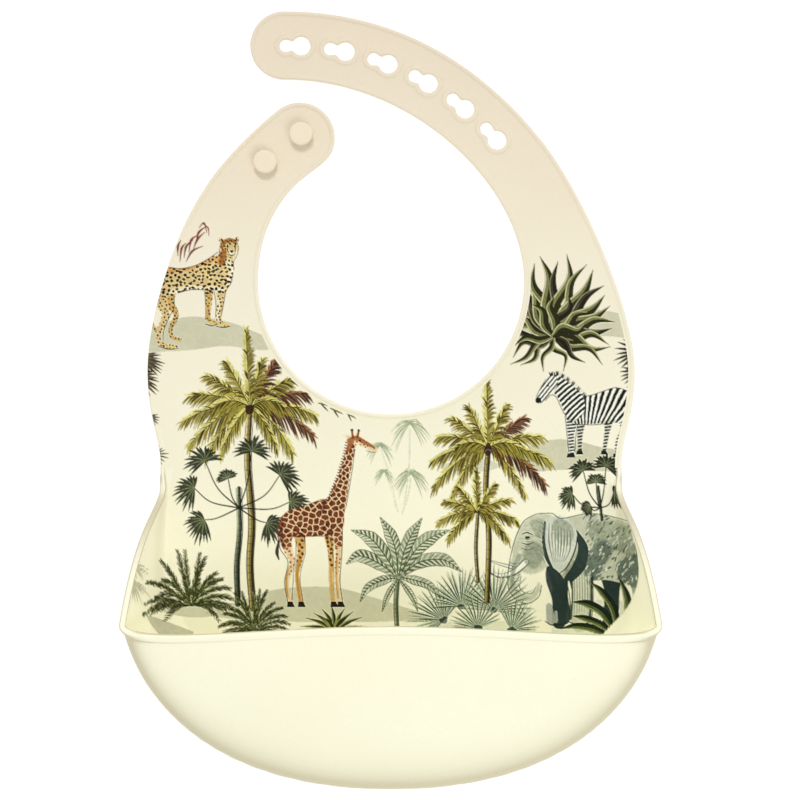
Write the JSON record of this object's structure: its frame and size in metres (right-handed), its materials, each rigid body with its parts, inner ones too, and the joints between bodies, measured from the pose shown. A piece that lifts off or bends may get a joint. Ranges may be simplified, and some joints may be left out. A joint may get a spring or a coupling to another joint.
{
  "type": "silicone baby bib",
  "caption": "Soft silicone bib with a scoop-shaped catch pocket, a printed front, and neck straps that snap together with mushroom studs in keyhole slots.",
  "frame": {"origin": "on the table under the middle of the bib's outline, as it lies open on its back", "axes": "+X across the bib, +Y from the pocket towards the neck straps, +Z out of the printed front"},
  "size_m": [0.2158, 0.3187, 0.0452],
  "materials": {
    "panel_silicone": "satin cream silicone",
    "pocket_silicone": "satin pale cream silicone",
    "stud_silicone": "satin cream silicone",
    "print_film": "matt ink printed on a thin clear silicone film"
  },
  "bodies": {
    "lower_bib": {"lower_panel": "panel_silicone", "lower_print": "print_film"},
    "pocket": {"catch_pocket": "pocket_silicone", "pocket_lip": "pocket_silicone"},
    "upper_bib": {"upper_panel": "panel_silicone", "upper_print": "print_film"},
    "short_strap": {"stud_strap": "panel_silicone", "upper_stud": "stud_silicone", "lower_stud": "stud_silicone"},
    "long_strap_root": {"keyhole_strap_root": "panel_silicone"},
    "long_strap_middle": {"keyhole_strap_middle": "panel_silicone"},
    "long_strap_end": {"keyhole_strap_end": "panel_silicone"}
  },
  "joints": [
    {"name": "waist_fold", "type": "hinge", "parent": "lower_bib", "child": "upper_bib", "pos_m": [0, -0.028, 0.0026], "axis": [1, 0, 0], "range_deg": [0, 115], "stiffness_Nm_per_rad": 0.012},
    {"name": "pocket_press", "type": "slide", "parent": "lower_bib", "child": "pocket", "axis": [0, 0, 1], "range_m": [-0.028, 0], "stiffness_N_per_m": 400, "deforming": ["catch_pocket", "pocket_lip"]},
    {"name": "stud_strap_flex", "type": "hinge", "parent": "upper_bib", "child": "short_strap", "pos_m": [-0.061, 0.084, 0.0026], "axis": [0.809, -0.5878, 0], "range_deg": [0, 50], "stiffness_Nm_per_rad": 0.004},
    {"name": "keyhole_strap_curl", "type": "hinge", "parent": "upper_bib", "child": "long_strap_root", "pos_m": [0.064, 0.08, 0.0026], "axis": [0.866, 0.5, 0], "range_deg": [0, 40], "stiffness_Nm_per_rad": 0.004},
    {"name": "keyhole_strap_curl_middle", "type": "hinge", "parent": "long_strap_root", "child": "long_strap_middle", "pos_m": [0.0212, 0.12715, 0.0026], "axis": [0.5446, 0.8387, 0], "range_deg": [0, 40], "stiffness_Nm_per_rad": 0.004},
    {"name": "keyhole_strap_curl_end", "type": "hinge", "parent": "long_strap_middle", "child": "long_strap_end", "pos_m": [-0.01226, 0.14233, 0.0026], "axis": [0.2419, 0.9703, 0], "range_deg": [0, 40], "stiffness_Nm_per_rad": 0.004}
  ],
  "couplings": [
    {"joint": "keyhole_strap_curl_middle", "follows": "keyhole_strap_curl", "ratio": 1},
    {"joint": "keyhole_strap_curl_end", "follows": "keyhole_strap_curl", "ratio": 1}
  ]
}
